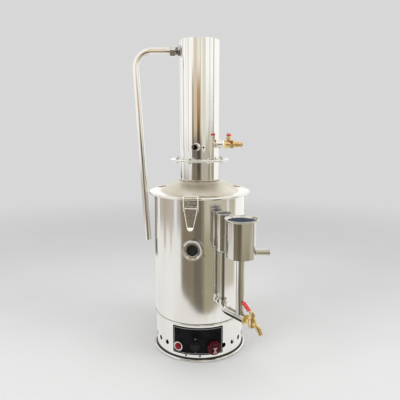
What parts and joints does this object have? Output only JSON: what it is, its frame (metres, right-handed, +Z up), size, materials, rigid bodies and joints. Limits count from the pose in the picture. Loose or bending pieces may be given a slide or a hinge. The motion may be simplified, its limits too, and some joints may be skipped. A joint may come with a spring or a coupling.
{
  "type": "stainless steel water distiller",
  "caption": "Upright electric bench water distiller: boiler pot on a skirted base with control panel, latched domed lid, column condenser, filling cups, valve and drain tap.",
  "frame": {"origin": "centre of the base's underside, on the pot's axis", "axes": "+Z up along the pot and the condenser, -Y towards the control panel at the front, +X towards the filling cup's side"},
  "size_m": [0.3334, 0.3773, 0.8116],
  "materials": {
    "steel": "mirror-polished stainless steel",
    "satin": "satin stainless steel, slightly warm",
    "pipe_steel": "satin stainless steel",
    "bright": "bright plated steel",
    "brass": "polished brass",
    "red_paint": "dipped red paint",
    "red_plastic": "smooth",
    "lens_red": "clear red",
    "knob_red": "dark red, smoky",
    "black": "black",
    "panel": "black, printed border",
    "white": "white",
    "silicone": "soft, pale",
    "dark_rubber": "black",
    "glass": "clear, dark behind"
  },
  "bodies": {
    "distiller": {"base_ring": "steel", "bottom_plate": "satin", "foot_seal": "dark_rubber", "base_skirt": "steel", "boiler_pot": "steel", "lid_gasket": "silicone", "lid_dome": "satin", "neck_tube": "steel", "lower_flange": "steel", "flange_gasket": "silicone", "upper_flange": "steel", "flange_bolts": "bright", "flange_nuts": "bright", "condenser_shell": "steel", "condenser_cap": "steel", "drip_tray": "satin", "cooling_coil": "satin", "distillate_outlet": "pipe_steel", "vent_nipple": "pipe_steel", "inlet_socket": "pipe_steel", "thread_tape": "white", "inlet_valve_body": "brass", "hose_tail": "brass", "union_spud": "pipe_steel", "union_nut": "bright", "sight_gasket": "dark_rubber", "sight_glass": "glass", "sight_bezel": "bright", "probe_screw": "brass", "latch_plates": "bright", "latch_rivets": "bright", "feed_pipe": "pipe_steel", "water_cup": "satin", "vent_cup": "satin", "tap_body": "brass", "tap_bonnet": "brass", "control_panel": "panel", "panel_screws": "bright", "lamp_body": "bright", "lamp_lens": "lens_red", "button_body": "black", "selector_base": "black", "heater_elements": "pipe_steel", "heater_nuts": "brass", "terminal_block": "white", "cable_gland": "black"},
    "return_pipe": {"return_pipe": "pipe_steel"},
    "inlet_ball": {"inlet_valve_stem": "bright", "inlet_handle": "red_paint"},
    "tap_ball": {"tap_plug": "brass", "tap_lever": "bright", "lever_sleeve": "red_plastic"},
    "selector": {"selector_knob": "knob_red"},
    "reset_button": {"reset_button": "black"},
    "lever_front": {"latch_lever_front": "bright"},
    "lever_right": {"latch_lever_right": "bright"},
    "lever_left": {"latch_lever_left": "bright"},
    "bail_front": {"latch_bail_front": "bright"},
    "bail_right": {"latch_bail_right": "bright"},
    "bail_left": {"latch_bail_left": "bright"}
  },
  "joints": [
    {"name": "return_pipe_swing", "type": "hinge", "parent": "distiller", "child": "return_pipe", "pos_m": [-0.062, 0, 0.7843], "axis": [1, 0, 0], "range_deg": [-90, 90]},
    {"name": "inlet_valve_turn", "type": "hinge", "parent": "distiller", "child": "inlet_ball", "pos_m": [0.07499, -0.02729, 0.576], "axis": [0, 0, 1], "range_deg": [-16, 74]},
    {"name": "drain_tap_turn", "type": "hinge", "parent": "distiller", "child": "tap_ball", "pos_m": [0.1214, -0.21338, 0.174], "axis": [0, 0, 1], "range_deg": [0, 90]},
    {"name": "selector_turn", "type": "hinge", "parent": "distiller", "child": "selector", "pos_m": [0.03708, -0.11833, 0.0381], "axis": [0.299, -0.9542, 0], "range_deg": [0, 90]},
    {"name": "reset_press", "type": "slide", "parent": "distiller", "child": "reset_button", "axis": [0.0941, 0.9956, 0], "range_m": [0, 0.003], "stiffness_N_per_m": 500},
    {"name": "lever_front_swing", "type": "hinge", "parent": "distiller", "child": "lever_front", "pos_m": [-0.02049, -0.12939, 0.4023], "axis": [-0.9877, 0.1564, 0], "range_deg": [0, 110]},
    {"name": "bail_front_swing", "type": "hinge", "parent": "lever_front", "child": "bail_front", "pos_m": [-0.02049, -0.12939, 0.3943], "axis": [-0.9877, 0.1564, 0], "range_deg": [-145, 0]},
    {"name": "lever_right_swing", "type": "hinge", "parent": "distiller", "child": "lever_right", "pos_m": [0.10181, 0.08244, 0.4023], "axis": [0.6293, -0.7771, 0], "range_deg": [0, 110]},
    {"name": "bail_right_swing", "type": "hinge", "parent": "lever_right", "child": "bail_right", "pos_m": [0.10181, 0.08244, 0.3943], "axis": [0.6293, -0.7771, 0], "range_deg": [-145, 0]},
    {"name": "lever_left_swing", "type": "hinge", "parent": "distiller", "child": "lever_left", "pos_m": [-0.10462, 0.07884, 0.4023], "axis": [0.6018, 0.7986, 0], "range_deg": [0, 110]},
    {"name": "bail_left_swing", "type": "hinge", "parent": "lever_left", "child": "bail_left", "pos_m": [-0.10462, 0.07884, 0.3943], "axis": [0.6018, 0.7986, 0], "range_deg": [-145, 0]}
  ],
  "couplings": [
    {"joint": "bail_front_swing", "follows": "lever_front_swing", "ratio": -1.3},
    {"joint": "bail_right_swing", "follows": "lever_right_swing", "ratio": -1.3},
    {"joint": "bail_left_swing", "follows": "lever_left_swing", "ratio": -1.3}
  ]
}
